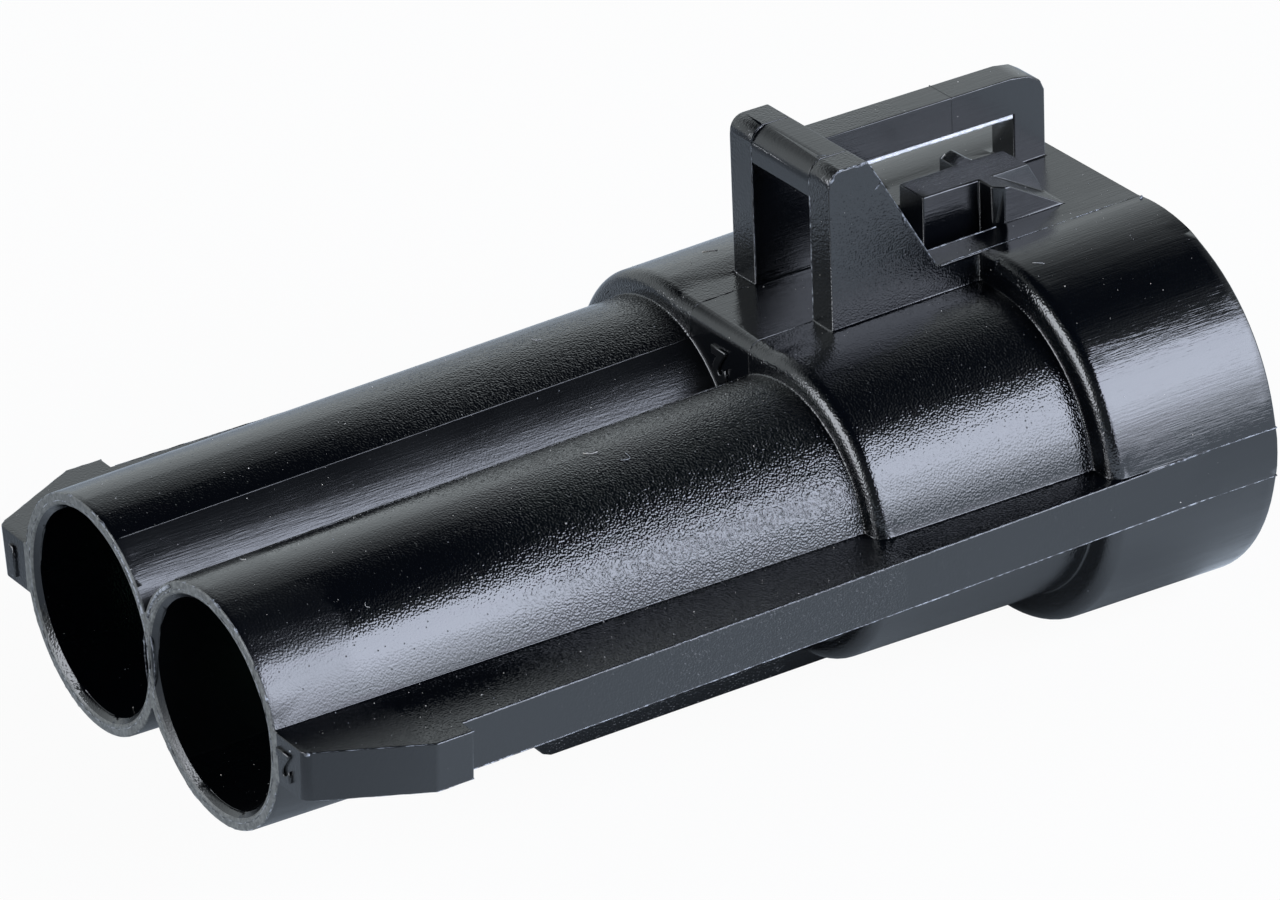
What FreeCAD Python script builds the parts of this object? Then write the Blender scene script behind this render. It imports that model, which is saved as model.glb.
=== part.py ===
import FreeCAD, Part
import math
import os

# Two-way sealed connector housing with its terminals and wire seals.
# X runs along the wire towers, from the wire mouths towards the mating end.
# Y runs across the pair, minus Y is the near tower. Z is up, the latch side.
# It is drawn with the wire mouths at X zero and the tower axes at Z zero, and
# moved at the end so that the origin is under its middle, on what it rests on.
# Lengths are millimetres.

# Main sizes: the pitch of the two wires, and the three lengths of the body
pitch = 8.50
tower_length = 24.75
mid_length = 9.50
rear_length = 7.40
draft_slope = 0.0182

# Wire towers and the web between them
tower_r = 4.63
bore_r = 3.97
rim_lead = 0.24
web_half_y = 0.45
web_half_z = 1.95

# Middle body
mid_r = 5.96
mid_flat_z = 5.83
mid_round = 0.55

# Rear body
rear_r = 7.33
rear_flat_z = 7.25
rear_round = 0.55

# Side rails and their flags, measured outwards from the tower axes
rail_half_z = 1.01
rail_out = 8.09
rail_slope = 0.0194
flag_x_wide = 4.10
flag_x_step = 5.60
flag_out_front = 6.39
flag_out_wide = 8.65
flag_draft = 0.08
flag_nose = 0.15
flag_flare_x = 0.30
flag_flare_y = 0.18
flag_nose_x = 0.08

# Bottom rail
keel_x = 13.90
keel_half_y = 3.68
keel_inset = 0.11
keel_slope = 0.003
keel_round = 0.40

# Latch guard, with its heights counted from the flat top of the rear body
wall_out_y = 3.24
wall_near_in_y = 1.95
wall_far_in_y = 1.80
guard_setback = 2.90
guard_depth = 1.76
guard_thick = 1.43
guard_round = 0.85
post_round = 0.60
gusset_length = 4.73
bar_gap_z = 2.18
bar_thick = 1.54
bar_drop = 1.34
bar_end_inset = 0.65
bar_end_round_x = 1.40
bar_end_round_z = 0.85
rear_post = 1.45
window_post = 1.19

# Latch block and the ramp behind it
block_lead = 0.75
block_half_y = 0.79
block_height = 1.49
block_tail = 0.90
ramp_setback = 1.80
ramp_crest = 0.55
ramp_far_height = 1.65
ramp_fall = 0.80
ramp_knee_height = 1.05
ramp_tail = 1.70
ramp_corner = 0.38

# Inside of the towers, counted back from the floor of the mating chamber
floor_setback = 1.45
floor_thick = 1.70
front_guide = 2.00
latch_pocket = 3.00
passage = 4.00
terminal_hole_clear = 0.05
pin_hole_clear = 0.05
tang_room = 0.25

# Mating chamber, open at the rear end
wall = 1.20
chamber_lead = 0.40

# Terminal, one formed strip of metal
terminal_sheet = 0.32
barrel_r = 2.35
pin_r = 1.15
pin_collar = 0.30
pin_recess = 4.15
pin_tip_length = 1.20
pin_tip_r = 0.52
tang_reach = 0.60
tang_length = 1.70
tang_half_y = 0.55
tang_gap = 0.15
grip_gap = 0.05
grip_end_gap = 0.15
grip_length = 2.10
grip_slot_half = 0.60
crimp_length = 2.40
crimp_gap = 0.40
crimp_open_z = 0.90
strap_half_y = 0.90
body_lead = 0.50
body_end_gap = 0.10
body_end_thick = 1.50

# Wire seal
seal_length = 6.00
seal_neck_length = 2.20
seal_end_gap = 0.10
seal_core_r = 3.35
seal_rib_clear = 0.03
seal_rib_width = 0.95
seal_rib_slope = 0.33
seal_rib_count = 3
seal_hole_r = 1.30

# How far cuts and roots run past the face that they go through
past = 1.00

# Places along the part that follow from the sizes above
mid_x = tower_length
rear_x = mid_x + mid_length
length = rear_x + rear_length
guard_x = mid_x + guard_setback
guard_back_x = guard_x + guard_depth
gusset_foot_x = guard_x + gusset_length
bar_end_x = length - bar_end_inset
window_front_x = guard_back_x + window_post
window_rear_x = bar_end_x - rear_post
block_x = rear_x - block_lead
ramp_x = rear_x + ramp_setback
ramp_crest_x = ramp_x + ramp_crest
ramp_knee_x = ramp_crest_x + ramp_fall
ramp_tip_x = ramp_knee_x + ramp_tail
block_end_x = ramp_knee_x + block_tail
chamber_step_x = ramp_x + wall
floor_x = mid_x + floor_setback
front_stop_x = floor_x - floor_thick
front_guide_x = front_stop_x - front_guide
shoulder_x = front_guide_x - latch_pocket
seal_seat_x = shoulder_x - passage
seal_x = seal_seat_x - seal_end_gap - seal_neck_length - seal_length
pin_tip_x = length - pin_recess

# Heights, widths and radii that follow
near_y = -pitch / 2
far_y = pitch / 2
bar_under_z = rear_flat_z + bar_gap_z
bar_top_z = bar_under_z + bar_thick
guard_top_z = bar_top_z + bar_drop
guard_under_z = guard_top_z - guard_thick
block_top_z = rear_flat_z + block_height
ramp_far_crest_z = rear_flat_z + ramp_far_height
ramp_knee_z = rear_flat_z + ramp_knee_height
keel_z = rear_flat_z - keel_inset
inside_z = mid_r / 2
terminal_hole_r = barrel_r + terminal_hole_clear
latch_pocket_r = barrel_r + tang_reach + tang_room
pin_collar_r = pin_r + pin_collar
pin_hole_r = pin_collar_r + pin_hole_clear
chamber_mid_r = mid_r - wall
chamber_rear_r = rear_r - wall
strip_in_r = barrel_r - terminal_sheet
seal_neck_r = strip_in_r - grip_gap
axis_x = FreeCAD.Vector(1, 0, 0)

os.makedirs("parts", exist_ok=True)


def v(x, y, z):
    return FreeCAD.Vector(x, y, z)


def line(a, b):
    return Part.LineSegment(v(*a), v(*b)).toShape()


def arc(a, m, b):
    return Part.Arc(v(*a), v(*m), v(*b)).toShape()


def face(edges):
    return Part.Face(Part.Wire(edges))


def polygon_xz(points, y_from, y_to):
    # A closed outline in X and Z, drawn at one side and pulled across in Y.
    closed = points + [points[0]]
    outline = Part.makePolygon([v(px, y_from, pz) for px, pz in closed])
    return Part.Face(outline).extrude(v(0, y_to - y_from, 0))


def block(x_from, x_to, y_from, y_to, z_from, z_to):
    size = (x_to - x_from, y_to - y_from, z_to - z_from)
    return Part.makeBox(size[0], size[1], size[2], v(x_from, y_from, z_from))


def rod(radius, x_from, x_to, y=0.0):
    return Part.makeCylinder(radius, x_to - x_from, v(x_from, y, 0), axis_x)


def cone(r_from, r_to, x_from, x_to, y):
    return Part.makeCone(r_from, r_to, x_to - x_from, v(x_from, y, 0), axis_x)


def corner_points(cx, cz, reach_x, reach_z, a_from, a_to, steps):
    # Points round a corner, as short flats, from one angle to the other in degrees.
    pts = []
    for step in range(steps + 1):
        a = math.radians(a_from + (a_to - a_from) * step / steps)
        pts.append((cx + reach_x * math.cos(a), cz + reach_z * math.sin(a)))
    return pts


def drafted(size, x_from, rounding, x):
    # A height or radius that grows with the draft once the front edge is rounded.
    return size + draft_slope * (x - x_from - rounding)


def rounded_middle(x_from, size, rounding):
    # The middle point of a rounded front edge.
    bulge = rounding * math.sqrt(0.5)
    return x_from + rounding - bulge, size - rounding + bulge


def lobe(y, x_from, x_to, radius, rounding):
    # A drafted round body with a rounded front edge, turned about its own axis.
    end_r = drafted(radius, x_from, rounding, x_to)
    mx, mz = rounded_middle(x_from, radius, rounding)
    edges = [
        line((x_from, y, 0), (x_from, y, radius - rounding)),
        arc((x_from, y, radius - rounding), (mx, y, mz), (x_from + rounding, y, radius)),
        line((x_from + rounding, y, radius), (x_to, y, end_r)),
        line((x_to, y, end_r), (x_to, y, 0)),
        line((x_to, y, 0), (x_from, y, 0)),
    ]
    return face(edges).revolve(v(0, y, 0), axis_x, 360)


def slab(x_from, x_to, half_z, rounding, round_top):
    # The flat part between two lobes. Its sides end inside the lobes.
    y = near_y
    mx, mz = rounded_middle(x_from, half_z, rounding)
    end_z = drafted(half_z, x_from, rounding, x_to)
    if round_top:
        top_x = x_from + rounding
        top_z = half_z
        edges = [
            line((x_from, y, rounding - half_z), (x_from, y, half_z - rounding)),
            arc((x_from, y, half_z - rounding), (mx, y, mz), (top_x, y, top_z)),
        ]
    else:
        top_x = x_from
        top_z = drafted(half_z, x_from, rounding, x_from)
        edges = [line((x_from, y, rounding - half_z), (x_from, y, top_z))]
    edges += [
        line((top_x, y, top_z), (x_to, y, end_z)),
        line((x_to, y, end_z), (x_to, y, -end_z)),
        line((x_to, y, -end_z), (x_from + rounding, y, -half_z)),
        arc((x_from + rounding, y, -half_z), (mx, y, -mz), (x_from, y, rounding - half_z)),
    ]
    return face(edges).extrude(v(0, pitch, 0))


def rear_top_z(x):
    # The flat top of the rear body, which the low walls of the channel run into.
    return drafted(rear_flat_z, rear_x, rear_round, x)


# Outer body: two towers with a web, then the middle and the rear body
tower_end_x = mid_x + past
tower_end_r = tower_r + draft_slope * tower_end_x
body = block(0, tower_end_x, -web_half_y, web_half_y, -web_half_z, web_half_z)
for y in (near_y, far_y):
    body = body.fuse(cone(tower_r, tower_end_r, 0, tower_end_x, y))
for y in (near_y, far_y):
    body = body.fuse(lobe(y, mid_x, rear_x + past, mid_r, mid_round))
body = body.fuse(slab(mid_x, rear_x + past, mid_flat_z, mid_round, True))
for y in (near_y, far_y):
    body = body.fuse(lobe(y, rear_x, length, rear_r, rear_round))
body = body.fuse(slab(rear_x, length, rear_flat_z, rear_round, False))


def flag_and_rail():
    # The far rail with its flag, seen from above, from the centre line outwards.
    # The flag is a little wider at the top than at the bottom.
    rings = []
    for z, extra in ((-rail_half_z, -flag_draft), (rail_half_z, flag_draft)):
        y_front = pitch / 2 + flag_out_front + extra
        y_wide = pitch / 2 + flag_out_wide + extra
        y_rail = pitch / 2 + rail_out
        pts = [
            (0.0, 0.0),
            (0.0, y_front - flag_nose),
            (flag_nose_x, y_front),
            (flag_flare_x, y_front + flag_flare_y),
            (flag_x_wide, y_wide),
            (flag_x_step, y_wide),
            (flag_x_step, y_rail - rail_slope * flag_x_step),
            (length, y_rail - rail_slope * length),
            (length, 0.0),
        ]
        rings.append([v(px, py, z) for px, py in pts + [pts[0]]])
    low, high = rings
    outlines = [low, high]
    for i in range(len(low) - 1):
        outlines.append([low[i], low[i + 1], high[i + 1], high[i], low[i]])
    faces = [Part.Face(Part.makePolygon(outline)) for outline in outlines]
    solid = Part.Solid(Part.Shell(faces))
    solid.fixTolerance(1e-7)
    return solid


far_rail = flag_and_rail()
near_rail = far_rail.mirror(v(0, 0, 0), v(0, 1, 0))
body = body.fuse(far_rail).fuse(near_rail)

# Bottom rail, flush with the flat underside of the rear body
keel_end_x = rear_x + past
keel_pts = [(keel_x, -inside_z)]
keel_pts += corner_points(keel_x + keel_round, keel_round - keel_z, keel_round, keel_round, 180, 270, 2)
keel_pts += [
    (keel_end_x, -keel_z - keel_slope * (keel_end_x - keel_x)),
    (keel_end_x, -inside_z),
]
body = body.fuse(polygon_xz(keel_pts, -keel_half_y, keel_half_y))

# Near side of the guard: post, sloping gusset and low wall in one plate
post_corner = corner_points(guard_x + post_round, guard_top_z - post_round, post_round, post_round, 180, 90, 6)
near_plate = [(guard_x, inside_z)] + post_corner
near_plate += [
    (guard_back_x, guard_top_z),
    (gusset_foot_x, rear_top_z(gusset_foot_x)),
    (rear_x + past, rear_top_z(rear_x + past)),
    (rear_x + past, inside_z),
]
body = body.fuse(polygon_xz(near_plate, -wall_out_y, -wall_near_in_y))

# Far side of the guard: post, wall, and the bar down to the rear post
bar_corner = corner_points(bar_end_x - bar_end_round_x, bar_top_z - bar_end_round_z,
                           bar_end_round_x, bar_end_round_z, 90, 0, 3)
far_plate = [(guard_x, inside_z)] + post_corner
far_plate += [(guard_back_x, guard_top_z), (guard_back_x, bar_top_z)] + bar_corner
far_plate += [(bar_end_x, inside_z)]
far_wall = polygon_xz(far_plate, wall_far_in_y, wall_out_y)

# Window through the far wall, with its sill level with the flat top
window_pts = [
    (window_front_x, rear_top_z(window_front_x)),
    (window_front_x, bar_under_z),
    (window_rear_x, bar_under_z),
    (window_rear_x, rear_top_z(window_rear_x)),
]
window = polygon_xz(window_pts, wall_far_in_y - past, wall_out_y + past)
body = body.fuse(far_wall.cut(window))

# Cross bar between the two posts, rooted in the middle of each
bar_pts = [(guard_x, guard_under_z)]
bar_pts += corner_points(guard_x + guard_round, guard_top_z - guard_round, guard_round, guard_round, 180, 90, 8)
bar_pts += [(guard_back_x, guard_top_z), (guard_back_x, guard_under_z)]
near_root_y = (wall_near_in_y + wall_out_y) / 2
far_root_y = (wall_far_in_y + wall_out_y) / 2
body = body.fuse(polygon_xz(bar_pts, -near_root_y, far_root_y))

# Latch block, then the ramp over the full width of the channel
block_pts = [
    (block_x, inside_z),
    (block_x, block_top_z),
    (block_end_x, block_top_z),
    (ramp_tip_x, rear_top_z(ramp_tip_x)),
    (ramp_tip_x, inside_z),
]
latch_block = polygon_xz(block_pts, -block_half_y, block_half_y)
ramp_pts = [
    (ramp_x, inside_z),
    (ramp_x, block_top_z),
    (ramp_crest_x, block_top_z),
    (ramp_knee_x, ramp_knee_z),
    (ramp_tip_x, rear_top_z(ramp_tip_x)),
    (ramp_tip_x, inside_z),
]
ramp = polygon_xz(ramp_pts, -wall_near_in_y, wall_far_in_y)
far_crest = [
    (ramp_x, inside_z),
    (ramp_x, block_top_z),
    (ramp_crest_x, ramp_far_crest_z),
    (ramp_knee_x, ramp_knee_z),
    (ramp_knee_x, inside_z),
]
ramp = ramp.fuse(polygon_xz(far_crest, block_half_y, wall_far_in_y))
corner = Part.makePolygon([
    v(ramp_x, -wall_near_in_y, mid_flat_z),
    v(ramp_x + ramp_corner, -wall_near_in_y, mid_flat_z),
    v(ramp_x, -wall_near_in_y + ramp_corner, mid_flat_z),
    v(ramp_x, -wall_near_in_y, mid_flat_z),
])
ramp = ramp.cut(Part.Face(corner).extrude(v(0, 0, guard_top_z - mid_flat_z)))

# The channel between the walls stays open down to the flat of the middle body
channel_z = drafted(mid_flat_z, mid_x, mid_round, rear_x)
channel = block(rear_x - past, ramp_x, -wall_near_in_y, wall_far_in_y, channel_z, rear_flat_z + past)
body = body.cut(channel)
body = body.fuse(latch_block).fuse(ramp)

# Tower bores, seal seats, terminal passages and the mating chamber
for y in (near_y, far_y):
    body = body.cut(rod(bore_r, -past, seal_seat_x, y))
    body = body.cut(cone(bore_r + rim_lead, bore_r, 0, rim_lead, y))
    body = body.cut(rod(terminal_hole_r, seal_seat_x - past, shoulder_x, y))
    body = body.cut(rod(latch_pocket_r, shoulder_x, front_guide_x, y))
    body = body.cut(rod(terminal_hole_r, front_guide_x, front_stop_x, y))
    body = body.cut(rod(pin_hole_r, front_stop_x - past, floor_x + past, y))
    body = body.cut(rod(chamber_mid_r, floor_x, length + past, y))
    body = body.cut(rod(chamber_rear_r, chamber_step_x, length + past, y))
    lead_r = chamber_rear_r + chamber_lead
    body = body.cut(cone(chamber_rear_r, lead_r, length - chamber_lead, length, y))
mid_room_z = mid_flat_z - wall
rear_room_z = rear_flat_z - wall
body = body.cut(block(floor_x, length + past, near_y, far_y, -mid_room_z, mid_room_z))
body = body.cut(block(chamber_step_x, length + past, near_y, far_y, -rear_room_z, rear_room_z))

housing = body.removeSplitter()

# What it rests on is the underside of the rear lobes
rest_z = drafted(rear_r, rear_x, rear_round, length)
base = v(-length / 2, 0, rest_z)


def save(shape, node):
    shape.translate(base)
    shape.exportStep("parts/" + node + ".step")


save(housing, "housing")


def make_seal(y):
    # A ribbed sleeve with a thin neck that the terminal grips.
    rib_r = bore_r - seal_rib_clear
    end_x = seal_x + seal_length
    shape = rod(seal_core_r, seal_x, end_x, y)
    shape = shape.fuse(rod(seal_neck_r, end_x - past, end_x + seal_neck_length, y))
    span = seal_length - seal_rib_width
    for i in range(seal_rib_count):
        x_from = seal_x + span * i / (seal_rib_count - 1)
        x_to = x_from + seal_rib_width
        rise = cone(seal_core_r, rib_r, x_from, x_from + seal_rib_slope, y)
        crest = rod(rib_r, x_from + seal_rib_slope, x_to - seal_rib_slope, y)
        fall = cone(rib_r, seal_core_r, x_to - seal_rib_slope, x_to, y)
        shape = shape.fuse(rise).fuse(crest).fuse(fall)
    hole = rod(seal_hole_r, seal_x - past, end_x + seal_neck_length + past, y)
    return shape.cut(hole).removeSplitter()


def strip_tube(x_from, x_to, y):
    # A round of the terminal's strip, hollow all through.
    return rod(barrel_r, x_from, x_to, y).cut(rod(strip_in_r, x_from - past, x_to + past, y))


def make_terminal(y):
    # Rear grip on the seal neck, wire crimp, round body with two tangs, and the pin.
    grip_x = seal_x + seal_length + grip_end_gap
    body_x = shoulder_x - body_lead
    body_end_x = front_stop_x - body_end_gap
    crimp_end_x = body_x - crimp_gap
    crimp_x = crimp_end_x - crimp_length
    high = barrel_r + past

    grip = strip_tube(grip_x, grip_x + grip_length, y)
    slot_end_x = grip_x + grip_length + past
    slot = block(grip_x - past, slot_end_x, y - grip_slot_half, y + grip_slot_half, 0, high)
    crimp = strip_tube(crimp_x, crimp_end_x, y)
    open_top = block(crimp_x - past, crimp_end_x + past, y - high, y + high, crimp_open_z, high)
    strap = strip_tube(grip_x, body_x + past, y)
    strap_room = block(grip_x, body_x + past, y - strap_half_y, y + strap_half_y, -high, 0)
    shape = grip.cut(slot).fuse(crimp.cut(open_top)).fuse(strap.common(strap_room))

    tube = rod(barrel_r, body_x, body_end_x, y)
    tube = tube.cut(rod(strip_in_r, body_x - past, body_end_x - body_end_thick, y))
    shape = shape.fuse(tube)
    shape = shape.fuse(rod(pin_collar_r, body_end_x - body_end_thick / 2, floor_x, y))
    shape = shape.fuse(rod(pin_r, floor_x - past / 2, pin_tip_x - pin_tip_length, y))
    shape = shape.fuse(cone(pin_r, pin_tip_r, pin_tip_x - pin_tip_length, pin_tip_x, y))

    tang_x = shoulder_x + tang_gap
    tang_tip_r = barrel_r + tang_reach
    for up in (-1, 1):
        tang = [
            (tang_x + tang_length, up * strip_in_r),
            (tang_x + tang_length, up * (strip_in_r + barrel_r) / 2),
            (tang_x, up * tang_tip_r),
            (tang_x, up * (tang_tip_r - terminal_sheet)),
        ]
        shape = shape.fuse(polygon_xz(tang, y - tang_half_y, y + tang_half_y))
    return shape.removeSplitter()


for side, y in (("near", near_y), ("far", far_y)):
    save(make_seal(y), "wire_seal_" + side)
    save(make_terminal(y), "terminal_" + side)

print("housing solids", len(housing.Solids), "volume", round(housing.Volume, 1), "valid", housing.isValid())
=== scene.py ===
# %% [markdown]
# A black sealed connector on a white sweep, in metres.
# The CAD model gives every solid at its real size and place. This script loads it as
# the frame, finishes its surfaces, adds the fine marks that moulding and handling
# leave, and lights it as a small product is lit: a big soft box and a white surround.

# %% Load the frame
import bpy
import bmesh
import math
import numpy as np
from mathutils import Matrix, Vector


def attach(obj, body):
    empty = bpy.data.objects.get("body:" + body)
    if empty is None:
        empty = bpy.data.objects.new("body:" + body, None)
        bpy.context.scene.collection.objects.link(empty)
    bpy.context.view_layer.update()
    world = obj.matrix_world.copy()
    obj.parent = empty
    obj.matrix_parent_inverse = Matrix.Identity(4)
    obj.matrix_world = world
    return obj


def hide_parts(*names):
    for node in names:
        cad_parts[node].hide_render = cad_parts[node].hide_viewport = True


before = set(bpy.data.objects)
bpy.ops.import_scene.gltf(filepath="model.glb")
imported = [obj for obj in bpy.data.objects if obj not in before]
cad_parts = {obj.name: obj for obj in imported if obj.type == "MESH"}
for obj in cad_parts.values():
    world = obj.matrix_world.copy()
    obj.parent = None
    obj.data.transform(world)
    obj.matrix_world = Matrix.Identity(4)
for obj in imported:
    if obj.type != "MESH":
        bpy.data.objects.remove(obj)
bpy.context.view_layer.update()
scene = bpy.context.scene
mm = 0.001

# %% [markdown]
# The CAD drawing starts at the wire mouths, with the tower axes at height zero.
# Its origin was moved under the middle of the part, so one shift turns a place
# on the drawing, in millimetres, into a place here, in metres. Marks on the skin
# have to lie on it, so the radii and flats of the three bodies are written here too.

# %% Sizes of the drawing that the finish follows, in millimetres
pitch, length, draft = 8.50, 41.65, 0.0182
tower_r = 4.63
mid_x, mid_r, mid_flat = 24.75, 5.96, 5.83
rear_x, rear_r, rear_flat = 34.25, 7.33, 7.25
edge_round = 0.55
guard_x, guard_back, guard_top, post_round = 27.65, 29.41, 12.31, 0.60
gusset_foot, ramp_x = 32.38, 36.05
wall_out, near_in, far_in = 3.24, 1.95, 1.80
bar_top, bar_under, bar_seam = 10.97, 9.43, 36.70
window_front, window_rear = 30.60, 39.55
rail_z, rail_y, rail_slope = 1.01, 12.34, 0.0194
axis_y = pitch / 2
rest_z = rear_r + draft * (length - rear_x - edge_round)
shift = np.array([-length / 2, 0.0, rest_z])


def place(points):
    """Points of the drawing in millimetres, as points here in metres."""
    return (np.asarray(points, dtype=float) + shift) * mm


def tower_radius(x):
    """The towers grow by the draft from the mouths on."""
    return tower_r + draft * x


def mid_size(size, x):
    """A radius or height of the middle body: it grows by the draft behind its rounded edge."""
    return size + draft * (x - mid_x - edge_round)


def rear_size(size, x):
    """The same for the rear body."""
    return size + draft * (x - rear_x - edge_round)


print("tower axes stand", round(rest_z, 3), "mm above what the part rests on")

# %% [markdown]
# Colours are chosen as they look on a screen, and the renderer needs them linear.
# A material is a small net of nodes. One function adds a node with its settings
# and its links, so a whole material reads as a list.

# %% Colour and node helpers
def linear(hex_colour):
    """sRGB hex to linear RGBA: divide by 12.92 below the knee, else the 2.4 power."""
    rgb = [int(hex_colour[i:i + 2], 16) / 255 for i in (1, 3, 5)]
    out = [c / 12.92 if c <= 0.04045 else ((c + 0.055) / 1.055) ** 2.4 for c in rgb]
    return (*out, 1.0)


def add_node(tree, kind, settings=None, inputs=None):
    """A node of that kind. An input is a value, a socket, or a node for its first output."""
    node = tree.nodes.new(kind)
    for key, value in (settings or {}).items():
        setattr(node, key, value)
    for key, value in (inputs or {}).items():
        if isinstance(value, bpy.types.Node):
            value = value.outputs[0]
        if isinstance(value, bpy.types.NodeSocket):
            tree.links.new(value, node.inputs[key])
        else:
            node.inputs[key].default_value = value
    return node


def new_material(name):
    """An empty material and its net."""
    material = bpy.data.materials.new(name)
    material.use_nodes = True
    material.node_tree.nodes.clear()
    return material, material.node_tree


# Settings that many nodes share
times, plus, times_plus, is_below, is_above, greater_of, dot = ({"operation": kind} for kind in (
    "MULTIPLY", "ADD", "MULTIPLY_ADD", "LESS_THAN", "GREATER_THAN", "MAXIMUM", "DOT_PRODUCT"))
smooth, in_colour = {"interpolation_type": "SMOOTHSTEP"}, {"data_type": "RGBA"}
print("black nylon looks", [round(c, 4) for c in linear("#06080C")[:3]], "in linear light")

# %% [markdown]
# The camera stands where the photograph was taken from, a long way off with a long
# lens, so the sides of the towers run nearly parallel. It is turned a little about
# its own line of sight. The numbers come from matching the drawing's corners.

# %% Camera
photo_wide, focal = 1280, 7859.1  # pixels
camera_angles = (-32.346, 27.1921, -2.4268)  # degrees: azimuth, elevation, roll
camera_place = (-0.13754, -0.21763, 0.14159)  # metres


def camera_axes(azimuth, elevation, roll):
    """Right, up and back of a camera. Azimuth 0 looks along +Y, and roll turns it about back."""
    az, el, turn = (math.radians(a) for a in (azimuth, elevation, roll))
    back = Vector((math.sin(az) * math.cos(el), -math.cos(az) * math.cos(el), math.sin(el)))
    right = Vector((math.cos(az), math.sin(az), 0.0))
    up = back.cross(right)
    return (right * math.cos(turn) + up * math.sin(turn),
            up * math.cos(turn) - right * math.sin(turn), back)


right, up, back = camera_axes(*camera_angles)
camera_data = bpy.data.cameras.new("camera")
camera_data.sensor_fit = "HORIZONTAL"
camera_data.sensor_width = 36.0
camera_data.lens = focal / photo_wide * camera_data.sensor_width
camera_data.clip_start, camera_data.clip_end = 0.01, 20.0
camera = bpy.data.objects.new("camera", camera_data)
turned = Matrix((right, up, back)).transposed().to_4x4()
camera.matrix_world = Matrix.Translation(camera_place) @ turned
scene.collection.objects.link(camera)
scene.camera = camera
scene.view_settings.view_transform = "Standard"
print("lens", round(camera_data.lens, 1), "mm")

# %% [markdown]
# A shiny black part shows the room more than itself. Read back from its highlights,
# the room has a white surround that fades from 27 to 58 degrees up, nothing overhead,
# and a dark gap where the camera stands. The world is that surround, and the camera
# itself sees it plain white.

# %% World: white round the part, dark overhead and behind the camera
fade_from, fade_to = 27, 58  # degrees up
surround_level, overhead_level = 0.92, 0.005
gap_azimuth, gap_from, gap_to = -120, 42, 28  # degrees: its middle, then from that middle
gap_level = 0.14  # share of the surround that is left in it
diffuse_share = 0.45  # of the surround, for rays not mirrored


def direction(azimuth, elevation=0):
    """From the part: cosine and sine of the azimuth, drawn in by the cosine of the elevation."""
    az, el = math.radians(azimuth), math.radians(elevation)
    return Vector((math.cos(az) * math.cos(el), math.sin(az) * math.cos(el), math.sin(el)))


def ray_kinds(tree):
    """Two sockets that are 1 for rays from the camera, and for mirrored or refracted rays."""
    rays = add_node(tree, "ShaderNodeLightPath").outputs
    mirrored = add_node(tree, "ShaderNodeMath", greater_of, {
        0: rays["Is Glossy Ray"], 1: rays["Is Transmission Ray"]})
    return rays["Is Camera Ray"], mirrored.outputs[0]


world = bpy.data.worlds.new("white surround")
scene.world = world
world.use_nodes = True
net = world.node_tree
net.nodes.clear()
way = add_node(net, "ShaderNodeTexCoord").outputs["Generated"]
rise = add_node(net, "ShaderNodeSeparateXYZ", inputs={"Vector": way}).outputs["Z"]
surround = add_node(net, "ShaderNodeMapRange", inputs={
    "Value": rise, "To Min": surround_level, "To Max": overhead_level,
    "From Min": math.sin(math.radians(fade_from)), "From Max": math.sin(math.radians(fade_to))})
level_way = add_node(net, "ShaderNodeVectorMath", times, {0: way, 1: (1.0, 1.0, 0.0)})
level_way = add_node(net, "ShaderNodeVectorMath", {"operation": "NORMALIZE"}, {0: level_way})
to_camera = add_node(net, "ShaderNodeVectorMath", dot, {0: level_way, 1: direction(gap_azimuth)})
beside = add_node(net, "ShaderNodeMapRange", inputs={
    "Value": to_camera.outputs["Value"], "To Min": 1.0, "To Max": gap_level,
    "From Min": math.cos(math.radians(gap_from)), "From Max": math.cos(math.radians(gap_to))})
surround = add_node(net, "ShaderNodeMath", times, {0: surround, 1: beside})
seen, mirrored = ray_kinds(net)
share = add_node(net, "ShaderNodeMapRange", inputs={
    "Value": mirrored, "To Min": diffuse_share, "To Max": 1.0})
lit = add_node(net, "ShaderNodeMath", times, {0: surround, 1: share})
level = add_node(net, "ShaderNodeMix", {"data_type": "FLOAT"}, {"Factor": seen, "A": lit, "B": 1.0})
tint = add_node(net, "ShaderNodeMix", in_colour, {
    "Factor": seen, "A": linear("#F2FBFF"), "B": linear("#FFFFFF")})
glow = add_node(net, "ShaderNodeBackground", inputs={
    "Color": tint.outputs["Result"], "Strength": level})
add_node(net, "ShaderNodeOutputWorld", inputs={"Surface": glow})
print("the surround fades out between", fade_from, "and", fade_to, "degrees")

# %% [markdown]
# One soft box is beside the camera, faintly blue and brightest near its top: a wide
# lamp with two smaller ones before it. Another box stands at the wire end.

# %% Soft boxes
box_azimuth = -60  # degrees


def soft_box(name, azimuth, elevation, distance, wide, tall, brightness, tint):
    """An elliptical lamp, in metres and degrees. A side is twice the distance times the tangent
    of half the angle it fills, seen from the part; power is brightness times pi times area."""
    out = direction(azimuth, elevation)
    data = bpy.data.lights.new(name, "AREA")
    data.shape = "ELLIPSE"
    data.size = 2 * distance * math.tan(math.radians(wide) / 2)
    data.size_y = 2 * distance * math.tan(math.radians(tall) / 2)
    data.energy = brightness * math.pi * data.size * data.size_y * math.pi / 4
    data.color = linear(tint)[:3]
    lamp = bpy.data.objects.new(name, data)
    turned = out.to_track_quat("Z", "Y").to_matrix().to_4x4()
    lamp.matrix_world = Matrix.Translation(out * distance) @ turned
    lamp.visible_camera = False
    scene.collection.objects.link(lamp)
    print(name, [round(v, 3) for v in (data.size, data.size_y)], "m,", round(data.energy, 2), "W")


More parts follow.
